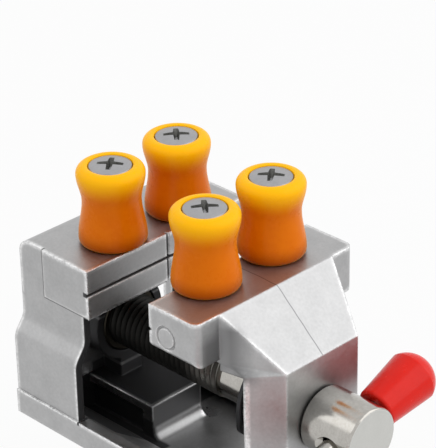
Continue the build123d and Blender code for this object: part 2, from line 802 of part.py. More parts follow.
def arm_outline(gap):
    """Tapered outline of the lever's arm, as (Y, Z) points grown by gap."""
    root, tip = lever_hub_d / 2 + gap, lever_tip_d / 2 + gap
    return [(0, shaft_z - root), (lever_tip_y, shaft_z - tip),
            (lever_tip_y, shaft_z + tip), (0, shaft_z + root)]


def lever_arm():
    """Hub and tapered arm, lying towards the rear when the pad is locked."""
    x0, x1 = lever_face_x, lever_face_x + lever_hub
    arm = rod_x(lever_hub_d, x0, x1, 0, shaft_z)
    arm += along_x(arm_outline(0), x0, x1)
    arm += rod_x(lever_tip_d, x0, x1, lever_tip_y, shaft_z)
    return arm - rod_x(shaft_d + 2 * fit_gap, x0 - overrun, x1 + overrun, 0, shaft_z)


def lever_grip():
    """Moulded sleeve over the arm's end."""
    x0, x1 = lever_face_x, lever_face_x + lever_hub
    tip_y = lever_length + lever_grip_wall
    half = lever_tip_d / 2 + 2 * lever_grip_wall
    body = block(x0 - lever_grip_wall, x1 + lever_grip_wall, tip_y - lever_grip_length, tip_y,
                 shaft_z - half, shaft_z + half)
    body = fillet(body.edges(), lever_grip_round)
    body -= along_x(arm_outline(fit_gap), x0 - fit_gap, x1 + fit_gap)
    return body - rod_x(lever_tip_d + 2 * fit_gap, x0 - fit_gap, x1 + fit_gap, lever_tip_y, shaft_z)


def lever_bolt():
    """Bolt that clamps the lever on the shaft's end."""
    x = lever_face_x + lever_hub
    head = rod_x(lever_bolt_head_d, x, x + lever_bolt_head, 0, shaft_z)
    head = chamfer(head.edges().filter_by(GeomType.CIRCLE).sort_by(Axis.X)[-1], edge_round / 2)
    return head + rod_x(lever_bolt_d, x - lever_bolt_reach, x, 0, shaft_z)


nodes = {
    "vise_body": vise_body(),
    "movable_jaw": movable_jaw(),
    "lead_screw": lead_screw(),
    "screw_nut": screw_nut(),
    "retaining_clip": retaining_clip(),
    "tommy_bar": tommy_bar(),
    "bar_grip_left": bar_grip(-1),
    "bar_grip_right": bar_grip(1),
    "fixed_peg_left": peg(-peg_x, fixed_peg_y),
    "fixed_peg_right": peg(peg_x, fixed_peg_y),
    "moving_peg_left": peg(-peg_x, moving_peg_y),
    "moving_peg_right": peg(peg_x, moving_peg_y),
    "fixed_peg_screws": peg_screws(fixed_peg_y),
    "moving_peg_screws": peg_screws(moving_peg_y),
    "base_housing": base_housing(),
    "base_screws": base_screws(),
    "suction_pad": suction_pad(),
    "shaft_bush_left": shaft_bush(-1),
    "shaft_bush_right": shaft_bush(1),
    "cam_shaft": cam_shaft(),
    "cam_lobe": cam_lobe(),
    "cam_pin": cam_pin(),
    "shaft_clip": shaft_clip(),
    "pull_yoke": pull_yoke(),
    "yoke_screws": yoke_screws(),
    "pad_plate": pad_plate(),
    "lever_arm": lever_arm(),
    "lever_grip": lever_grip(),
    "lever_bolt": lever_bolt(),
}

os.makedirs("parts", exist_ok=True)
for name, shape in nodes.items():
    export_step(shape, f"parts/{name}.step")
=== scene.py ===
"""Looks of a suction base vise with peg jaws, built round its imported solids.

Everything is in metres, in the solids' own frame: X along the jaws, Y from the
tommy bar towards the fixed jaw, Z up from the surface that the foot stands on.
"""
import math

import bpy
from mathutils import Matrix, Vector


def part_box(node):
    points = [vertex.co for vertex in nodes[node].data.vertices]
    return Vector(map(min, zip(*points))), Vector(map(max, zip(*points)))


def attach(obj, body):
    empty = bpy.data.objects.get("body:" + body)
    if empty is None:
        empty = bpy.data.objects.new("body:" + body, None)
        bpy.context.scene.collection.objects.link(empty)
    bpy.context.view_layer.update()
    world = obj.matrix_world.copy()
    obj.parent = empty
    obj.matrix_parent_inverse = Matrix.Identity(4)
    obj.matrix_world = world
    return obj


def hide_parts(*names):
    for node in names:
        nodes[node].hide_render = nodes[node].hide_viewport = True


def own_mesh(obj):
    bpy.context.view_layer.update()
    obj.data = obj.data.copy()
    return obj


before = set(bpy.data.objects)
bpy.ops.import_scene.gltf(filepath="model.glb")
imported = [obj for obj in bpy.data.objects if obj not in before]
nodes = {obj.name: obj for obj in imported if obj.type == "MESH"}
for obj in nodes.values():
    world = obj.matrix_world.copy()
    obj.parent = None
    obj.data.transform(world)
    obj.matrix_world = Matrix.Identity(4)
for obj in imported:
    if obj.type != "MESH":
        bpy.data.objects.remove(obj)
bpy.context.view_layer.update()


# Bed and fixed jaw: one aluminium die casting, tumbled after casting so that
# its corners are rounded and its skin has a soft, slightly uneven shine. Only
# the grip face and the two end pads are milled.
casting_corner = 0.00045
casting_light = (0.48, 0.48, 0.482)
casting_dark = (0.37, 0.37, 0.372)
casting_roughness = (0.36, 0.46)
casting_relief = 0.000018
skin_patch = 0.007
skin_grain = 0.0009
# Outward corners brighten in spots towards this colour: wear, and a painted highlight where the
# rounded corners catch the light.
edge_wear_highlight_colour = (0.98, 0.98, 0.98)
edge_roughness = 0.2
edge_patch = 0.003
edge_grain = 0.0007
edge_rounding = 0.0007
edge_grain_share = 0.6
rounding_samples = 4
corner_reach = 0.0017
corner_span = (0.10, 0.32)
crevice_reach = 0.0022
crevice_span = (0.20, 0.60)
# Inward corners darken towards this colour: painted shade.
crevice_painted_shade = (0.10, 0.10, 0.10)
nearness_samples = 8
merge_distance = 0.000002
flat_angle = math.radians(0.6)
# A dark colour that paints shade into the casting's hollows and recesses, on a rougher skin.
painted_shade_colour = (0.075, 0.075, 0.077)
shade_box_roughness = 0.6


def shader_node(tree, kind, **settings):
    """A node of one kind, with settings by property name and socket values by _name."""
    made = tree.nodes.new(kind)
    for name, value in settings.items():
        if name.startswith("_"):
            made.inputs[name[1:].replace("_", " ")].default_value = value
        else:
            setattr(made, name, value)
    return made


def effect(name, inputs, outputs):
    """An empty shader node group with float inputs and outputs."""
    group = bpy.data.node_groups.new(name, "ShaderNodeTree")
    for label, value in inputs.items():
        socket = group.interface.new_socket(label, in_out="INPUT", socket_type="NodeSocketFloat")
        socket.default_value = value
    for label in outputs:
        group.interface.new_socket(label, in_out="OUTPUT", socket_type="NodeSocketFloat")
    return group, group.nodes.new("NodeGroupInput"), group.nodes.new("NodeGroupOutput")


def patchy_skin():
    """Uneven patches and fine grain: Tone for colour and roughness, Height for relief."""
    group, given, result = effect(
        "patchy skin", {"Patch": skin_patch, "Grain": skin_grain, "Grain share": 0.35},
        ("Tone", "Height"))
    place = shader_node(group, "ShaderNodeTexCoord")
    mixed = []
    for label, detail in (("Patch", 3.0), ("Grain", 5.0)):
        scale = shader_node(group, "ShaderNodeMath", operation="DIVIDE")
        scale.inputs[0].default_value = 1.0
        group.links.new(given.outputs[label], scale.inputs[1])
        noise = shader_node(group, "ShaderNodeTexNoise", _Detail=detail, _Roughness=0.55)
        group.links.new(place.outputs["Object"], noise.inputs["Vector"])
        group.links.new(scale.outputs[0], noise.inputs["Scale"])
        mixed.append(noise.outputs["Fac"])
    blend = shader_node(group, "ShaderNodeMix", data_type="FLOAT")
    group.links.new(given.outputs["Grain share"], blend.inputs["Factor"])
    group.links.new(mixed[0], blend.inputs["A"])
    group.links.new(mixed[1], blend.inputs["B"])
    spread = shader_node(group, "ShaderNodeMapRange", _From_Min=0.3, _From_Max=0.7)
    group.links.new(blend.outputs["Result"], spread.inputs["Value"])
    group.links.new(spread.outputs["Result"], result.inputs["Tone"])
    group.links.new(blend.outputs["Result"], result.inputs["Height"])
    return group


def box_mask():
    """One inside a box given by its corners, nought outside, with a soft border."""
    limits = {f"{side} {axis}": value
              for side, value in (("Low", -1.0), ("High", 1.0)) for axis in "XYZ"}
    group, given, result = effect("box mask", {**limits, "Border": 0.001}, ("Mask",))
    place = shader_node(group, "ShaderNodeTexCoord")
    parts = shader_node(group, "ShaderNodeSeparateXYZ")
    group.links.new(place.outputs["Object"], parts.inputs["Vector"])
    product = None
    for axis in "XYZ":
        for side, order in (("Low", 1), ("High", -1)):
            beyond = shader_node(group, "ShaderNodeMath", operation="SUBTRACT")
            ends = (parts.outputs[axis], given.outputs[f"{side} {axis}"])[::order]
            group.links.new(ends[0], beyond.inputs[0])
            group.links.new(ends[1], beyond.inputs[1])
            edge = shader_node(group, "ShaderNodeMapRange")
            group.links.new(beyond.outputs[0], edge.inputs["Value"])
            group.links.new(given.outputs["Border"], edge.inputs["From Max"])
            if product is None:
                product = edge.outputs["Result"]
                continue
            times = shader_node(group, "ShaderNodeMath", operation="MULTIPLY")
            group.links.new(product, times.inputs[0])
            group.links.new(edge.outputs["Result"], times.inputs[1])
            product = times.outputs[0]
    group.links.new(product, result.inputs["Mask"])
    return group


def corner_wear_and_crevice_shade():
    """Corner is one along outward corners, Crevice along inward ones, found by nearness."""
    group, given, result = effect(
        "corner wear and crevice shade", {"Corner reach": corner_reach, "Crevice reach": crevice_reach},
        ("Corner", "Crevice"))
    for label, inside, (low, high) in (("Corner", True, corner_span),
                                       ("Crevice", False, crevice_span)):
        near = shader_node(group, "ShaderNodeAmbientOcclusion", inside=inside, only_local=True,
                           samples=nearness_samples)
        group.links.new(given.outputs[label + " reach"], near.inputs["Distance"])
        share = shader_node(group, "ShaderNodeMapRange", _From_Min=1 - low, _From_Max=1 - high)
        group.links.new(near.outputs["AO"], share.inputs["Value"])
        group.links.new(share.outputs["Result"], result.inputs[label])
    return group


skin_effect = patchy_skin()
box_effect = box_mask()
corner_effect = corner_wear_and_crevice_shade()


def finish_of(name, light, dark, roughness, relief, sizes, **sockets):
    """A material whose colour, roughness and relief follow the patchy skin."""
    made = bpy.data.materials.new(name)
    made.use_nodes = True
    tree = made.node_tree
    shader = tree.nodes["Principled BSDF"]
    for label, value in sockets.items():
        shader.inputs[label.replace("_", " ")].default_value = value
    skin = shader_node(tree, "ShaderNodeGroup", node_tree=skin_effect)
    for label, value in zip(("Patch", "Grain", "Grain share"), sizes):
        skin.inputs[label].default_value = value
    colour = shader_node(tree, "ShaderNodeMix", data_type="RGBA")
    colour.inputs["A"].default_value = (*dark, 1.0)
    colour.inputs["B"].default_value = (*light, 1.0)
    gloss = shader_node(tree, "ShaderNodeMapRange", _To_Min=roughness[0], _To_Max=roughness[1])
    bump = shader_node(tree, "ShaderNodeBump", _Distance=relief, _Strength=1.0)
    tree.links.new(skin.outputs["Tone"], colour.inputs["Factor"])
    tree.links.new(skin.outputs["Tone"], gloss.inputs["Value"])
    tree.links.new(skin.outputs["Height"], bump.inputs["Height"])
    tree.links.new(colour.outputs["Result"], shader.inputs["Base Color"])
    tree.links.new(gloss.outputs["Result"], shader.inputs["Roughness"])
    tree.links.new(bump.outputs["Normal"], shader.inputs["Normal"])
    return made


def mixed_in(material, socket, mask, value):
    """Mixes a colour or a number, by a mask, into what feeds one socket of the shader."""
    tree = material.node_tree
    shader = tree.nodes["Principled BSDF"]
    is_colour = isinstance(value, tuple)
    before = shader.inputs[socket].links[0].from_socket
    change = shader_node(tree, "ShaderNodeMix", data_type="RGBA" if is_colour else "FLOAT")
    change.inputs["B"].default_value = (*value, 1.0) if is_colour else value
    tree.links.new(mask, change.inputs["Factor"])
    tree.links.new(before, change.inputs["A"])
    tree.links.new(change.outputs["Result"], shader.inputs[socket])


def skin_within(material, low, high, colour, roughness, border=0.001):
    """Gives a finish another colour and roughness inside a box."""
    tree = material.node_tree
    mask = shader_node(tree, "ShaderNodeGroup", node_tree=box_effect)
    for label, corner in (("Low", low), ("High", high)):
        for axis, value in zip("XYZ", corner):
            mask.inputs[f"{label} {axis}"].default_value = value
    mask.inputs["Border"].default_value = border
    mixed_in(material, "Base Color", mask.outputs["Mask"], colour)
    mixed_in(material, "Roughness", mask.outputs["Mask"], roughness)


def wear_highlight_and_shade_within(material):
    """Rounds a casting's corners, brightens them in spots, which is wear and a painted highlight,
    and darkens its inner corners with painted shade.
    """
    tree = material.node_tree
    shader = tree.nodes["Principled BSDF"]
    near = shader_node(tree, "ShaderNodeGroup", node_tree=corner_effect)
    spots = shader_node(tree, "ShaderNodeGroup", node_tree=skin_effect)
    spots.inputs["Patch"].default_value = edge_patch
    spots.inputs["Grain"].default_value = edge_grain
    spots.inputs["Grain share"].default_value = edge_grain_share
    bright = shader_node(tree, "ShaderNodeMath", operation="MULTIPLY")
    tree.links.new(near.outputs["Corner"], bright.inputs[0])
    tree.links.new(spots.outputs["Tone"], bright.inputs[1])
    mixed_in(material, "Base Color", near.outputs["Crevice"], crevice_painted_shade)
    mixed_in(material, "Base Color", bright.outputs[0], edge_wear_highlight_colour)
    mixed_in(material, "Roughness", bright.outputs[0], edge_roughness)
    rounding = shader_node(tree, "ShaderNodeBevel", samples=rounding_samples,
                           _Radius=edge_rounding)
    bump = shader.inputs["Normal"].links[0].from_node
    tree.links.new(rounding.outputs["Normal"], bump.inputs["Normal"])


def pick_only(*objects):
    """Selects these objects alone, the first one active."""
    bpy.ops.object.select_all(action="DESELECT")
    for thing in objects:
        thing.select_set(True)
    bpy.context.view_layer.objects.active = objects[0]


def smoothed(piece, angle=35.0):
    """Smooth shading that leaves large flat faces flat beside their rounded edges."""
    pick_only(piece)
    bpy.ops.object.shade_smooth_by_angle(angle=math.radians(angle))
    weighted = piece.modifiers.new("weighted normals", "WEIGHTED_NORMAL")
    weighted.keep_sharp = True
    bpy.ops.object.modifier_apply(modifier=weighted.name)


def softened_copy(node, name, corner, sharp=28.0, segments=2):
    """A copy of a solid, its loose triangles merged and its corners rounded."""
    pick_only(nodes[node])
    bpy.ops.object.duplicate()
    copy = bpy.context.object
    copy.name = copy.data.name = name
    copy.parent = None
    for key in list(copy.keys()):
        del copy[key]
    bpy.ops.object.mode_set(mode="EDIT")
    bpy.ops.mesh.select_all(action="SELECT")
    bpy.ops.mesh.remove_doubles(threshold=merge_distance)
    bpy.ops.mesh.dissolve_limited(angle_limit=flat_angle)
    bpy.ops.object.mode_set(mode="OBJECT")
    bevel = copy.modifiers.new("rounding", "BEVEL")
    bevel.width = corner
    bevel.segments = segments
    bevel.limit_method = "ANGLE"
    bevel.angle_limit = math.radians(sharp)
    bevel.use_clamp_overlap = True
    bpy.ops.object.modifier_apply(modifier=bevel.name)
    smoothed(copy)
    return copy


def dress(piece, material, body, slot, *replaced, second=None):
    """Gives a piece its material and body, and hides the solids it stands for. The slot is not
    used.
    """
    piece.data.materials.clear()
    piece.data.materials.append(material)
    if second:
        piece.data.materials.append(second)
    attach(piece, body)
    if replaced:
        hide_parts(*replaced)


cast_aluminium = finish_of(
    "cast aluminium", casting_light, casting_dark, casting_roughness, casting_relief,
    (skin_patch, skin_grain, 0.5), Metallic=1.0)
body_casting = cast_aluminium.copy()
body_casting.name = "body casting"
body_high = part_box("vise_body")[1]
grip_face_y = 0.016
groove_z = body_high.z - 0.0074
groove_half = 0.0009
pad_rear_y = grip_face_y + 0.0184
pad_low_z = body_high.z - 0.0148
pad_line = 0.00045
# Thin lines of painted shade along the steps round the end pads.
pad_step_painted_shade = (0.18, 0.18, 0.18)
# Painted shade on a rougher skin: the hollow, the trough and the dovetail.
painted_shade_boxes = (
    ((-0.0322, 0.0178, 0.0605), (0.0322, body_high.y - 0.0035, 0.0795)),
    ((-0.0290, 0.0178, 0.0785), (0.0290, body_high.y - 0.0035, body_high.z - 0.0055)),
    ((-0.0094, 0.0150, 0.0555), (0.0094, body_high.y - 0.0004, 0.0610)),
    ((-0.0091, 0.0192, 0.0440), (0.0091, body_high.y - 0.0004, 0.0546)),
    ((-0.0203, 0.0080, 0.0450), (-0.0080, body_high.y - 0.0004, 0.0525)),
    ((-0.0305, 0.0080, 0.0515), (-0.0170, body_high.y - 0.0004, 0.0608)),
    ((0.0080, 0.0180, 0.0450), (0.0203, body_high.y - 0.0004, 0.0525)),
    ((0.0170, 0.0180, 0.0515), (0.0305, body_high.y - 0.0004, 0.0608)),
)
# Shade laid on, as the photograph has it: the front of the tongue.
tongue_front = ((-0.0099, 0.0120, 0.0490), (0.0099, 0.0162, 0.0572))
tongue_front_skin = (0.13, 0.13, 0.132)
tongue_front_roughness = 0.4
wall_front_y = (0.0180, 0.0191)
wall_z = (0.0600, body_high.z - 0.0152)
wear_highlight_and_shade_within(body_casting)
for low, high in painted_shade_boxes:
    skin_within(body_casting, low, high, painted_shade_colour, shade_box_roughness)
skin_within(body_casting, *tongue_front, tongue_front_skin, tongue_front_roughness)
# Painted shade along the groove across the grip face.
skin_within(body_casting, (-0.04, grip_face_y, groove_z - groove_half),
           (0.04, grip_face_y + 0.002, groove_z + groove_half), painted_shade_colour, shade_box_roughness, 0.0004)
# Painted shade on the front faces of the hollow's two side walls, and thin lines of painted shade
# along the steps round the two end pads.
for side in (-1, 1):
    inner, outer = sorted((side * 0.0270, side * 0.0340))
    skin_within(body_casting, (inner, wall_front_y[0], wall_z[0]),
               (outer, wall_front_y[1], wall_z[1]), painted_shade_colour, shade_box_roughness, 0.0003)
    inner, outer = sorted((side * 0.0285, side * 0.0310))
    for low_y, high_y, low_z, high_z in (
            (pad_rear_y - pad_line, pad_rear_y + pad_line, pad_low_z, body_high.z + 0.001),
            (grip_face_y, pad_rear_y, pad_low_z - pad_line, pad_low_z + pad_line)):
        skin_within(body_casting, (inner, low_y, low_z), (outer, high_y, high_z),
                   pad_step_painted_shade, 0.5, 0.0003)
fixed_jaw = softened_copy("vise_body", "bed_and_fixed_jaw", casting_corner)
dress(fixed_jaw, body_casting, "base", "casting", "vise_body")
# A dark block put across the rear of the trough, which shuts out the light from behind; its colour
# is painted shade.
web_low = (-0.0205, body_high.y - 0.0038, 0.0450)
web_high = (0.0205, body_high.y - 0.0018, 0.0580)
shade_painted_casting = finish_of(
    "casting painted with shade", painted_shade_colour, (0.035, 0.035, 0.037), (0.5, 0.65), casting_relief,
    (skin_patch, skin_grain, 0.5), Metallic=1.0)
bpy.ops.object.select_all(action="DESELECT")
bpy.ops.mesh.primitive_cube_add(size=1, location=(Vector(web_low) + Vector(web_high)) / 2)
rear_web = bpy.context.object
rear_web.name = rear_web.data.name = "rear_web"
rear_web.scale = Vector(web_high) - Vector(web_low)
bpy.ops.object.transform_apply(location=True, rotation=True, scale=True)
web_edge = rear_web.modifiers.new("rounding", "BEVEL")
web_edge.width = 0.0003
web_edge.segments = 2
bpy.ops.object.modifier_apply(modifier=web_edge.name)
smoothed(rear_web)
dress(rear_web, shade_painted_casting, "base", "casting", "vise_body")


# Movable jaw: a second casting from the same alloy, with the same tumbled
# skin. The ring on its left end is where a round ejector pin pushed it out of
# the mould.
ejector_ring_r = 0.0032
ejector_groove = 0.00045
ejector_place = (-0.0142, 0.1000)
flow_mark_r = 0.0018
flow_mark_groove = 0.00018
flow_mark_place = (-0.0168, 0.0928)
# Shade laid on as the photograph has it, and not a real change of finish:
# the front wall, the left inner corner and the left gusset's side.
front_wall = ((-0.0135, -0.0490, 0.0400), (0.0080, -0.0355, 0.0915))
front_wall_skin = (0.17, 0.17, 0.171)
inner_corner = ((-0.0300, -0.0300, 0.0880), (-0.0165, -0.0195, 0.1045))
inner_corner_skin = (0.24, 0.24, 0.242)
gusset_side = ((-0.0232, -0.0440, 0.0880), (-0.0172, -0.0200, 0.1065))
gusset_side_skin = (0.19, 0.19, 0.192)
front_wall_fade = 0.008
inner_corner_fade = 0.004
gusset_side_fade = 0.003
shaded_roughness = 0.42
seam_half = 0.00023
seam_wander = 0.0012
seam_colour = (0.10, 0.10, 0.105)


def seam_mask():
    """A thin wandering line along Y at X = 0, where the two halves of the mould met."""
    group, given, result = effect(
        "mould seam", {"Half": seam_half, "Wander": seam_wander}, ("Mask",))
    place = shader_node(group, "ShaderNodeTexCoord")
    parts = shader_node(group, "ShaderNodeSeparateXYZ")
    group.links.new(place.outputs["Object"], parts.inputs["Vector"])
    along = shader_node(group, "ShaderNodeCombineXYZ")
    group.links.new(parts.outputs["Y"], along.inputs["Y"])
    noise = shader_node(group, "ShaderNodeTexNoise", _Scale=140.0, _Detail=1.0)
    group.links.new(along.outputs["Vector"], noise.inputs["Vector"])
    centred = shader_node(group, "ShaderNodeMath", operation="SUBTRACT")
    centred.inputs[1].default_value = 0.5
    group.links.new(noise.outputs["Fac"], centred.inputs[0])
    wander = shader_node(group, "ShaderNodeMath", operation="MULTIPLY")
    group.links.new(centred.outputs[0], wander.inputs[0])
    group.links.new(given.outputs["Wander"], wander.inputs[1])
    off = shader_node(group, "ShaderNodeMath", operation="ADD")
    group.links.new(parts.outputs["X"], off.inputs[0])
    group.links.new(wander.outputs[0], off.inputs[1])
    away = shader_node(group, "ShaderNodeMath", operation="ABSOLUTE")
    group.links.new(off.outputs[0], away.inputs[0])
    line = shader_node(group, "ShaderNodeMapRange", _To_Min=1.0, _To_Max=0.0)
    group.links.new(away.outputs[0], line.inputs["Value"])
    group.links.new(given.outputs["Half"], line.inputs["From Max"])
    group.links.new(line.outputs["Result"], result.inputs["Mask"])
    return group


def seamed(material, name, share):
    """A copy of a casting's finish with the mould seam drawn on its upper faces."""
    made = material.copy()
    made.name = name
    tree = made.node_tree
    seam = shader_node(tree, "ShaderNodeGroup", node_tree=seam_effect)
    face = shader_node(tree, "ShaderNodeTexCoord")
    way = shader_node(tree, "ShaderNodeSeparateXYZ")
    tree.links.new(face.outputs["Normal"], way.inputs["Vector"])
    upward = shader_node(tree, "ShaderNodeMapRange", _From_Min=0.4, _From_Max=0.6, _To_Max=share)
    tree.links.new(way.outputs["Z"], upward.inputs["Value"])
    both = shader_node(tree, "ShaderNodeMath", operation="MULTIPLY")
    tree.links.new(seam.outputs["Mask"], both.inputs[0])
    tree.links.new(upward.outputs["Result"], both.inputs[1])
    mixed_in(made, "Base Color", both.outputs[0], seam_colour)
    return made


def cut(piece, cutter, name):
    """Takes a cutter's shape out of a piece and removes the cutter."""
    gap = piece.modifiers.new(name, "BOOLEAN")
    gap.object = cutter
    gap.solver = "EXACT"
    pick_only(piece)
    bpy.ops.object.modifier_apply(modifier=gap.name)
    bpy.data.objects.remove(cutter)


seam_effect = seam_mask()
jaw_casting = cast_aluminium.copy()
jaw_casting.name = "jaw casting"
wear_highlight_and_shade_within(jaw_casting)
skin_within(jaw_casting, *gusset_side, gusset_side_skin, shaded_roughness, gusset_side_fade)
skin_within(jaw_casting, *inner_corner, inner_corner_skin, shaded_roughness, inner_corner_fade)
skin_within(jaw_casting, *front_wall, front_wall_skin, shaded_roughness, front_wall_fade)
seamed_casting = seamed(jaw_casting, "seamed casting", 0.9)
sliding_jaw = softened_copy("movable_jaw", "sliding_jaw", casting_corner)
jaw_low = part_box("movable_jaw")[0]
for place, major, minor in ((ejector_place, ejector_ring_r, ejector_groove),
                            (flow_mark_place, flow_mark_r, flow_mark_groove)):
    bpy.ops.object.select_all(action="DESELECT")
    bpy.ops.mesh.primitive_torus_add(
        location=(jaw_low.x, *place), rotation=(0, math.pi / 2, 0),
        major_radius=major, minor_radius=minor, major_segments=64, minor_segments=10)
    cut(sliding_jaw, bpy.context.object, "ejector mark")
smoothed(sliding_jaw)
dress(sliding_jaw, seamed_casting, "jaw", "casting", "movable_jaw")


# Lead screw: turned from steel bar, with a rolled thread, a plain neck in the
# movable jaw and a round polished head, cross-drilled for the tommy bar.
screw_low, screw_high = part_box("lead_screw")
screw_axis = Vector((0, 0, (screw_low.z + screw_high.z) / 2))
thread_pitch = 0.002
thread_crest_r = 0.008
thread_root_r = 0.0069
thread_start_y = -0.0098
thread_end_y = screw_high.y - 0.0016
dog_point_r = 0.0064
dog_point_chamfer = 0.0005
neck_r = 0.0075
head_r = 0.0092
head_length = 0.017
head_corner = 0.0007
cross_hole_r = 0.0036
cross_hole_mouth = 0.0006
cross_hole_depth = 0.0081
chuck_y = screw_low.y
thread_shade = ((-0.02, -0.0040, 0.06), (0.02, 0.06, 0.09))
thread_shade_skin = (0.03, 0.03, 0.028)
thread_shade_fade = 0.008
steel_light = (0.50, 0.485, 0.455)
steel_dark = (0.38, 0.365, 0.335)


def turned_piece(name, outline, centre, axis, steps=72):
    """A lathe-turned solid: an edge extruded point by point, then spun round."""
    bpy.ops.object.select_all(action="DESELECT")
    bpy.ops.mesh.primitive_plane_add(size=0.001, location=outline[0])
    piece = bpy.context.object
    piece.name = piece.data.name = name
    bpy.ops.object.mode_set(mode="EDIT")
    bpy.ops.mesh.select_mode(type="VERT")
    bpy.ops.mesh.merge(type="CENTER")
    for here, there in zip(outline, outline[1:]):
        step = Vector(there) - Vector(here)
        bpy.ops.mesh.extrude_region_move(TRANSFORM_OT_translate={"value": step})
    bpy.ops.mesh.select_all(action="SELECT")
    bpy.ops.mesh.spin(steps=steps, angle=math.tau, center=centre, axis=axis)
    bpy.ops.mesh.select_all(action="SELECT")
    bpy.ops.mesh.remove_doubles(threshold=0.000003)
    bpy.ops.mesh.normals_make_consistent(inside=False)
    bpy.ops.object.mode_set(mode="OBJECT")
    bpy.ops.object.transform_apply(location=True, rotation=True, scale=True)
    bpy.ops.object.shade_smooth_by_angle(angle=math.radians(30))
    return piece


def rounded(corner, points=5):
    """A quarter round as pairs: how far in from the end, how far in from the side."""
    turns = [math.pi / 2 * index / (points - 1) for index in range(points)]
    return [(corner * (1 - math.cos(turn)), corner * (1 - math.sin(turn))) for turn in turns]


steel = finish_of(
    "polished steel", steel_light, steel_dark, (0.12, 0.22), 0.000008,
    (0.004, 0.0007, 0.5), Metallic=1.0)
faced_steel = finish_of(
    "faced steel", (0.55, 0.55, 0.527), (0.50, 0.50, 0.477), (0.55, 0.65), 0.00002,
    (0.004, 0.0007, 0.5), Metallic=0.35)
# The thread's steel is painted much darker than the head's: painted shade for where it runs under
# the jaws.
thread_steel_painted_shade = finish_of(
    "thread steel painted with shade", (0.20, 0.195, 0.18), (0.12, 0.115, 0.105), (0.24, 0.36), 0.00001,
    (0.004, 0.0007, 0.5), Metallic=1.0)
head_rear_y = chuck_y + head_length
head_outline = [(0, chuck_y)]
for inset, drop in rounded(head_corner):
    head_outline.append((head_r - drop, chuck_y + inset))
for inset, drop in reversed(rounded(head_corner)):
    head_outline.append((head_r - drop, head_rear_y - inset))
head_outline += [(neck_r, head_rear_y), (neck_r, thread_start_y - 0.0012),
                 (thread_root_r, thread_start_y - 0.0006), (thread_root_r, thread_start_y),
                 (0, thread_start_y)]
screw_head = turned_piece(
    "screw_head", [(r, y, screw_axis.z) for r, y in head_outline], screw_axis, (0, 1, 0))
bar_ends = [sum(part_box(node), Vector()) / 2 for node in ("bar_grip_left", "bar_grip_right")]
bar_way = (bar_ends[1] - bar_ends[0]).normalized()
bar_middle = Vector((0, (bar_ends[0].y + bar_ends[1].y) / 2, screw_axis.z))
mouth_r = cross_hole_r + 0.0042
mouth_reach = head_r + 0.0037
hole_outline = [(0, -mouth_reach), (mouth_r, -mouth_reach),
                (cross_hole_r, cross_hole_mouth - cross_hole_depth),
                (cross_hole_r, cross_hole_depth - cross_hole_mouth),
                (mouth_r, mouth_reach), (0, mouth_reach)]
across = bar_way.cross(Vector((0, 1, 0))).normalized()
hole = turned_piece(
    "cross_hole", [bar_middle + across * r + bar_way * along for r, along in hole_outline],
    bar_middle, bar_way, 48)
cut(screw_head, hole, "cross hole")
smoothed(screw_head, 30)
dress(screw_head, steel, "screw", "machined_steel", "lead_screw", second=faced_steel)
for face in screw_head.data.polygons:
    if face.normal.y < -0.9 and face.center.y < chuck_y + head_corner / 2:
        face.material_index = 1

bpy.ops.object.select_all(action="DESELECT")
bpy.ops.mesh.primitive_plane_add(size=0.001, location=screw_axis)
screw_thread = bpy.context.object
screw_thread.name = screw_thread.data.name = "screw_thread"
bpy.ops.object.mode_set(mode="EDIT")
bpy.ops.mesh.select_mode(type="VERT")
bpy.ops.mesh.merge(type="CENTER")
bpy.ops.transform.translate(value=(thread_root_r, thread_start_y - thread_pitch, 0))
rise = thread_crest_r - thread_root_r
for step in ((0, 0.10, 0), (rise * 0.85, 0.32, 0), (rise * 0.15, 0.05, 0), (0, 0.06, 0),
             (-rise * 0.15, 0.05, 0), (-rise * 0.85, 0.32, 0), (0, 0.10, 0)):
    bpy.ops.mesh.extrude_region_move(
        TRANSFORM_OT_translate={"value": (step[0], step[1] * thread_pitch, 0)})
bpy.ops.object.mode_set(mode="OBJECT")
winding = screw_thread.modifiers.new("winding", "SCREW")
winding.axis = "Y"
winding.screw_offset = thread_pitch
winding.iterations = math.ceil((thread_end_y - thread_start_y) / thread_pitch) + 2
winding.steps = winding.render_steps = 48
winding.use_merge_vertices = True
winding.merge_threshold = 0.000003
bpy.ops.object.modifier_apply(modifier=winding.name)
bpy.ops.object.mode_set(mode="EDIT")
for cut_y, away in ((thread_start_y, False), (thread_end_y, True)):
    bpy.ops.mesh.select_all(action="SELECT")
    bpy.ops.mesh.bisect(plane_co=(0, cut_y, 0), plane_no=(0, 1, 0), use_fill=True,
                        clear_outer=away, clear_inner=not away, threshold=0.0000001)
bpy.ops.mesh.select_all(action="SELECT")
bpy.ops.mesh.remove_doubles(threshold=merge_distance)
bpy.ops.mesh.normals_make_consistent(inside=False)
bpy.ops.object.mode_set(mode="OBJECT")
bpy.ops.object.transform_apply(location=True, rotation=True, scale=True)
bpy.ops.object.shade_smooth_by_angle(angle=math.radians(40))
skin_within(thread_steel_painted_shade, *thread_shade, thread_shade_skin, 0.5, thread_shade_fade)
dress(screw_thread, thread_steel_painted_shade, "screw", "machined_steel", "lead_screw")


dog_point_outline = [
    (0, thread_end_y), (thread_root_r, thread_end_y),
    (dog_point_r, thread_end_y + dog_point_chamfer),
    (dog_point_r, screw_high.y - dog_point_chamfer),
    (dog_point_r - dog_point_chamfer, screw_high.y), (0, screw_high.y)]
dog_point = turned_piece(
    "dog_point", [(r, y, screw_axis.z) for r, y in dog_point_outline], screw_axis, (0, 1, 0))
dress(dog_point, steel, "screw", "machined_steel", "lead_screw")


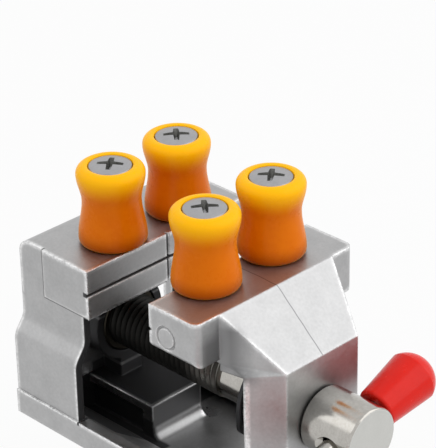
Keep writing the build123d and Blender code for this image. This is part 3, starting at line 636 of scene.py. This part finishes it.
# Small steel and brass parts that keep the solids' own shapes: the nut in the
# fixed jaw, the clip, the tommy bar and all that sits inside the foot.
zinc = finish_of(
    "bright zinc", (0.42, 0.42, 0.43), (0.34, 0.34, 0.35), (0.38, 0.50), 0.000008,
    (0.003, 0.0006, 0.5), Metallic=1.0)
black_steel = finish_of(
    "blackened steel", (0.035, 0.035, 0.038), (0.02, 0.02, 0.022), (0.30, 0.50), 0.00002,
    (0.003, 0.0006, 0.5), Metallic=0.6)
brass = finish_of(
    "turned brass", (0.56, 0.43, 0.20), (0.45, 0.335, 0.15), (0.2, 0.36), 0.00002,
    (0.003, 0.0006, 0.5), Metallic=1.0)
nut_low, nut_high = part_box("screw_nut")
# The nut's brass is darker everywhere but at its rear end.
darkened_nut_brass = brass.copy()
darkened_nut_brass.name = "darkened brass"
skin_within(darkened_nut_brass, (nut_low.x - 0.002, nut_low.y - 0.002, nut_low.z - 0.002),
           (nut_high.x + 0.002, nut_high.y - 0.002, nut_high.z + 0.002), (0.05, 0.045, 0.035), 0.5)
finishes = {
    steel: ("tommy_bar", "cam_shaft", "cam_lobe", "cam_pin"),
    zinc: ("base_screws", "yoke_screws", "pad_plate", "lever_bolt"),
    black_steel: ("retaining_clip", "shaft_clip"),
    darkened_nut_brass: ("screw_nut",),
    brass: ("shaft_bush_left", "shaft_bush_right"),
    cast_aluminium: ("pull_yoke",),
}
for material, names in finishes.items():
    for name in names:
        nodes[name].data.materials.clear()
        nodes[name].data.materials.append(material)
        pick_only(nodes[name])
        bpy.ops.object.shade_smooth_by_angle(angle=math.radians(30))


# Pegs: four turned-looking posts moulded in amber plastic, waisted so that
# round work sits between them, each with a wide rim round its screw.
peg_colour_light = (0.66, 0.150, 0.0004)
peg_colour_dark = (0.61, 0.122, 0.0004)
# The rim colour is painted light, yellower where the tops catch the light; the foot colour is
# painted shade, darker where the pegs stand on the jaws.
peg_rim_painted_light = (0.90, 0.44, 0.003)
peg_foot_painted_shade = (0.34, 0.054, 0.0004)
peg_sheen_tint = (1.0, 0.55, 0.06, 1.0)
peg_r = 0.0095
peg_waist_r = 0.00815
peg_waist_height = 0.0126
peg_height = 0.0229
peg_foot_round = 0.0015
peg_rim_round = 0.0024
peg_recess_r = 0.00615
peg_recess_round = 0.0005
peg_recess = 0.0026


def coloured_by_height(material, colour, low, high):
    """Blends a colour in between two heights."""
    tree = material.node_tree
    share = shader_node(tree, "ShaderNodeMapRange", interpolation_type="SMOOTHSTEP",
                        _From_Min=low, _From_Max=high)
    where = shader_node(tree, "ShaderNodeTexCoord")
    parts = shader_node(tree, "ShaderNodeSeparateXYZ")
    tree.links.new(where.outputs["Object"], parts.inputs["Vector"])
    tree.links.new(parts.outputs["Z"], share.inputs["Value"])
    mixed_in(material, "Base Color", share.outputs["Result"], colour)


amber = finish_of(
    "amber plastic", peg_colour_light, peg_colour_dark, (0.22, 0.34), 0.00003,
    (0.006, 0.0012, 0.3))
peg_low, peg_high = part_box("fixed_peg_left")
# Painted shade towards the foot and painted light towards the rim.
coloured_by_height(amber, peg_foot_painted_shade, peg_low.z + 0.0055, peg_low.z)
coloured_by_height(amber, peg_rim_painted_light, peg_high.z - 0.0085, peg_high.z - 0.0006)
amber_shader = amber.node_tree.nodes["Principled BSDF"]
amber_shader.inputs["Specular IOR Level"].default_value = 0.08
amber_shader.inputs["Sheen Weight"].default_value = 0.5
amber_shader.inputs["Sheen Roughness"].default_value = 0.35
amber_shader.inputs["Sheen Tint"].default_value = peg_sheen_tint
peg_outline = [(0, 0)]
for inset, drop in rounded(peg_foot_round):
    peg_outline.append((peg_r - drop, inset))
waist_steps = 10
for low_z, high_z, turned_in in ((peg_foot_round, peg_waist_height, True),
                                 (peg_waist_height, peg_height - peg_rim_round, False)):
    for index in range(1, waist_steps + 1):
        share = index / waist_steps
        waist = 0.5 - 0.5 * math.cos(math.pi * (share if turned_in else 1 - share))
        peg_outline.append((peg_r - (peg_r - peg_waist_r) * waist,
                            low_z + share * (high_z - low_z)))
for inset, drop in list(reversed(rounded(peg_rim_round, 8)))[1:]:
    peg_outline.append((peg_r - drop, peg_height - inset))
peg_outline += [(peg_recess_r + peg_recess_round, peg_height),
                (peg_recess_r + peg_recess_round * 0.3, peg_height - peg_recess_round * 0.3),
                (peg_recess_r, peg_height - peg_recess_round),
                (peg_recess_r, peg_height - peg_recess), (0, peg_height - peg_recess)]
for node, body in (("fixed_peg_left", "base"), ("fixed_peg_right", "base"),
                   ("moving_peg_left", "jaw"), ("moving_peg_right", "jaw")):
    low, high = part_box(node)
    foot = Vector(((low.x + high.x) / 2, (low.y + high.y) / 2, low.z))
    peg = turned_piece(
        node + "_turned", [foot + Vector((r, 0, h)) for r, h in peg_outline], foot, (0, 0, 1))
    dress(peg, amber, body, "peg_plastic", node)


# Peg screws: zinc-plated steel with pan heads and a tapered cross recess. They
# hold the pegs down on the two jaws.
screw_cap_r = 0.006
screw_cap = 0.0031
screw_crown = 0.0007
cross_reach = 0.0040
cross_web = 0.0018
cross_tip_share = 0.8
cross_depth = 0.0019
cross_floor_share = 0.35
cap_outline = [(0, 0), (screw_cap_r, 0), (screw_cap_r, screw_cap - screw_crown - 0.0003),
               (screw_cap_r - 0.0002, screw_cap - screw_crown)]
for index in range(1, 8):
    share = 1 - index / 7
    cap_outline.append((screw_cap_r * share * 0.96, screw_cap - screw_crown * share ** 2))


def cross_cutter(top, turn):
    """A tapered cross, wider at its mouth, to sink a driver's recess with."""
    bpy.ops.object.select_all(action="DESELECT")
    bpy.ops.mesh.primitive_cube_add(size=1, location=top, rotation=(0, 0, turn))
    cutter = bpy.context.object
    cutter.scale = (cross_web, cross_web, 2 * cross_depth)
    bpy.ops.object.transform_apply(location=False, rotation=False, scale=True)
    mesh = cutter.data
    for axis in (0, 1):
        for side in (-1, 1):
            bpy.ops.object.mode_set(mode="EDIT")
            bpy.ops.mesh.select_mode(type="FACE")
            bpy.ops.mesh.select_all(action="DESELECT")
            bpy.ops.object.mode_set(mode="OBJECT")
            for face in mesh.polygons:
                face.select = (face.normal[axis] * side > 0.9
                               and abs(face.center[1 - axis]) < cross_web * 0.1
                               and abs(face.center[axis]) < cross_web)
            bpy.ops.object.mode_set(mode="EDIT")
            way = Matrix.Rotation(turn, 3, "Z") @ Vector(
                (side, 0, 0) if axis == 0 else (0, side, 0))
            bpy.ops.mesh.extrude_region_move(
                TRANSFORM_OT_translate={"value": way * (cross_reach - cross_web / 2)})
            bpy.ops.object.mode_set(mode="OBJECT")
            for corner in mesh.vertices:
                if corner.select:
                    corner.co[1 - axis] *= cross_tip_share
    for corner in mesh.vertices:
        share = cross_floor_share if corner.co.z < 0 else 2 - cross_floor_share
        corner.co.x *= share
        corner.co.y *= share
    return cutter


# The cross recesses are painted dark: painted shade inside the recess.
recess_shade_zinc = finish_of(
    "zinc with painted recess shade", (0.16, 0.16, 0.15), (0.06, 0.06, 0.055), (0.45, 0.6), 0.00001,
    (0.002, 0.0005, 0.5), Metallic=0.6)
for node, body, turns in (("fixed_peg_screws", "base", (0.66, 0.85)),
                          ("moving_peg_screws", "jaw", (0.88, 0.66))):
    low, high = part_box(node)
    middle_y = (low.y + high.y) / 2
    seat_z = high.z - screw_cap
    for side, turn in zip((-1, 1), turns):
        seat = Vector((side * (high.x - screw_cap_r), middle_y, seat_z))
        head = turned_piece(
            f"{node}_{'left' if side < 0 else 'right'}",
            [seat + Vector((r, 0, h)) for r, h in cap_outline], seat, (0, 0, 1), 48)
        cut(head, cross_cutter(seat + Vector((0, 0, screw_cap)), turn), "cross")
        smoothed(head, 30)
        dress(head, zinc, body, "plated_steel", node, second=recess_shade_zinc)
        # Faces inside the cross recess take the painted recess shade.
        for face in head.data.polygons:
            off = (face.center - seat).xy.length
            if off < cross_reach and face.normal.z < 0.97 and face.center.z > seat.z + 0.0005:
                face.material_index = 1


# Grips of the tommy bar: moulded in glossy red plastic and pressed on its
# ends. They keep the solids' own shapes.
red = finish_of(
    "red plastic", (0.66, 0.011, 0.004), (0.59, 0.008, 0.003), (0.20, 0.30), 0.00004,
    (0.005, 0.0011, 0.3), Specular_IOR_Level=0.22)
for node in ("bar_grip_left", "bar_grip_right"):
    nodes[node].data.materials.clear()
    nodes[node].data.materials.append(red)
    pick_only(nodes[node])
    bpy.ops.object.shade_smooth_by_angle(angle=math.radians(40))


# Suction lever: a zinc-plated steel arm with rounded edges, and a red moulded
# sleeve with three finger grooves above and below.
lever_corner = 0.0007
groove_r = 0.0035
groove_sunk = 0.0007
groove_step = 0.0052
lever_plate = softened_copy("lever_arm", "lever_plate", lever_corner)
dress(lever_plate, zinc, "lever", "plated_steel", "lever_arm")
sleeve = softened_copy("lever_grip", "lever_sleeve", 0.0002)
sleeve_low, sleeve_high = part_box("lever_grip")
sleeve_middle = (sleeve_low + sleeve_high) / 2
for index in (-1, 0, 1):
    for edge_z, way in ((sleeve_low.z, -1), (sleeve_high.z, 1)):
        bpy.ops.object.select_all(action="DESELECT")
        bpy.ops.mesh.primitive_cylinder_add(
            vertices=48, radius=groove_r, depth=0.03, rotation=(0, math.pi / 2, 0),
            location=(sleeve_middle.x, sleeve_middle.y + index * groove_step,
                      edge_z + way * (groove_r - groove_sunk)))
        cut(sleeve, bpy.context.object, "finger groove")
smoothed(sleeve)
dress(sleeve, red, "lever", "grip_plastic", "lever_grip")


# Foot: a bell-shaped aluminium casting over a black rubber pad, whose middle
# the lever draws up.
bell_low, bell_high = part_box("base_housing")
rim_groove = 0.0005
rim_groove_z = bell_low.z + 0.0022
foot_casting = cast_aluminium.copy()
foot_casting.name = "foot casting"
wear_highlight_and_shade_within(foot_casting)
housing = softened_copy("base_housing", "foot_bell", 0.0005)
bpy.ops.object.select_all(action="DESELECT")
bpy.ops.mesh.primitive_torus_add(
    location=(0, 0, rim_groove_z), major_radius=bell_high.y, minor_radius=rim_groove,
    major_segments=144, minor_segments=12)
cut(housing, bpy.context.object, "rim groove")
smoothed(housing)
dress(housing, foot_casting, "base", "foot_casting", "base_housing")
rubber = finish_of(
    "black rubber", (0.022, 0.022, 0.022), (0.014, 0.014, 0.014), (0.5, 0.75), 0.00005,
    (0.006, 0.001, 0.4))
pad_split_r = 0.036
pad_ring = softened_copy("suction_pad", "rubber_ring", 0.0003)
pick_only(pad_ring)
bpy.ops.object.duplicate()
pad_middle = bpy.context.object
pad_middle.name = pad_middle.data.name = "rubber_middle"
for piece, keep_inner in ((pad_ring, False), (pad_middle, True)):
    bpy.ops.object.select_all(action="DESELECT")
    bpy.ops.mesh.primitive_cylinder_add(vertices=96, radius=pad_split_r, depth=0.04)
    core = bpy.context.object
    part = piece.modifiers.new("split", "BOOLEAN")
    part.object = core
    part.operation = "INTERSECT" if keep_inner else "DIFFERENCE"
    part.solver = "EXACT"
    pick_only(piece)
    bpy.ops.object.modifier_apply(modifier=part.name)
    bpy.data.objects.remove(core)
    smoothed(piece)
    dress(piece, rubber, "base", "pad_rubber", "suction_pad")
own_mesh(pad_middle)


# Floor and light: a pale floor, one broad soft lamp over the right front, a
# weak one behind and an even sky.
floor_size = 6.0
floor_colour = (0.62, 0.62, 0.62, 1.0)
floor_white = 0.90
sky_colour = (1.0, 1.0, 1.0, 1.0)
sky_strength = 1.0
bpy.ops.object.select_all(action="DESELECT")
bpy.ops.mesh.primitive_plane_add(size=floor_size)
floor = bpy.context.object
floor.name = "floor"
floor_paint = bpy.data.materials.new("pale floor")
floor_paint.use_nodes = True
floor_tree = floor_paint.node_tree
floor_shader = floor_tree.nodes["Principled BSDF"]
floor_shader.inputs["Base Color"].default_value = floor_colour
floor_shader.inputs["Roughness"].default_value = 0.7
floor_glow = shader_node(floor_tree, "ShaderNodeEmission", _Strength=1.0)
floor_ray = shader_node(floor_tree, "ShaderNodeLightPath")
floor_share = shader_node(floor_tree, "ShaderNodeMath", operation="MULTIPLY")
floor_share.inputs[1].default_value = floor_white
floor_blend = shader_node(floor_tree, "ShaderNodeMixShader")
seen = floor_ray.outputs["Is Camera Ray"]
for ray in ("Is Glossy Ray", "Is Transmission Ray"):
    either = shader_node(floor_tree, "ShaderNodeMath", operation="MAXIMUM")
    floor_tree.links.new(seen, either.inputs[0])
    floor_tree.links.new(floor_ray.outputs[ray], either.inputs[1])
    seen = either.outputs[0]
floor_tree.links.new(seen, floor_share.inputs[0])
floor_tree.links.new(floor_share.outputs[0], floor_blend.inputs["Fac"])
floor_tree.links.new(floor_shader.outputs["BSDF"], floor_blend.inputs[1])
floor_tree.links.new(floor_glow.outputs["Emission"], floor_blend.inputs[2])
floor_end = floor_tree.nodes["Material Output"]
floor_tree.links.new(floor_blend.outputs["Shader"], floor_end.inputs["Surface"])
floor.data.materials.append(floor_paint)

world = bpy.data.worlds.new("even sky")
bpy.context.scene.world = world
world.use_nodes = True
sky = world.node_tree.nodes["Background"]
sky.inputs["Color"].default_value = sky_colour
sky.inputs["Strength"].default_value = sky_strength

aim = Vector((0, 0, 0.085))
for name, way, distance, size, power in (
        ("soft key", (0.50, -0.60, 0.62), 1.0, 1.25, 5.2),
        ("rear fill", (-0.50, 0.62, 0.60), 1.1, 0.55, 0.8)):
    direction = Vector(way).normalized()
    bpy.ops.object.light_add(type="AREA", location=aim + direction * distance)
    lamp = bpy.context.object
    lamp.name = name
    lamp.rotation_mode = "QUATERNION"
    lamp.rotation_quaternion = direction.to_track_quat("Z", "Y")
    lamp.data.size = size
    lamp.data.energy = power


# Camera: high on the left front, as far off as the photograph's flat
# perspective asks.
camera_place = (-0.37486, -0.38782, 0.40464)
camera_azimuth = math.radians(-44.31)
camera_elevation = math.radians(28.09)
camera_roll = math.radians(-1.21)
camera_lens = 183.41
bpy.ops.object.camera_add(location=camera_place)
camera = bpy.context.object
camera.matrix_world = (
    Matrix.Translation(camera_place)
    @ Matrix.Rotation(camera_azimuth, 4, "Z")
    @ Matrix.Rotation(math.pi / 2 - camera_elevation, 4, "X")
    @ Matrix.Rotation(camera_roll, 4, "Z"))
camera.data.lens = camera_lens
camera.data.clip_start = 0.05
bpy.context.scene.camera = camera
bpy.context.scene.view_settings.view_transform = "Standard"
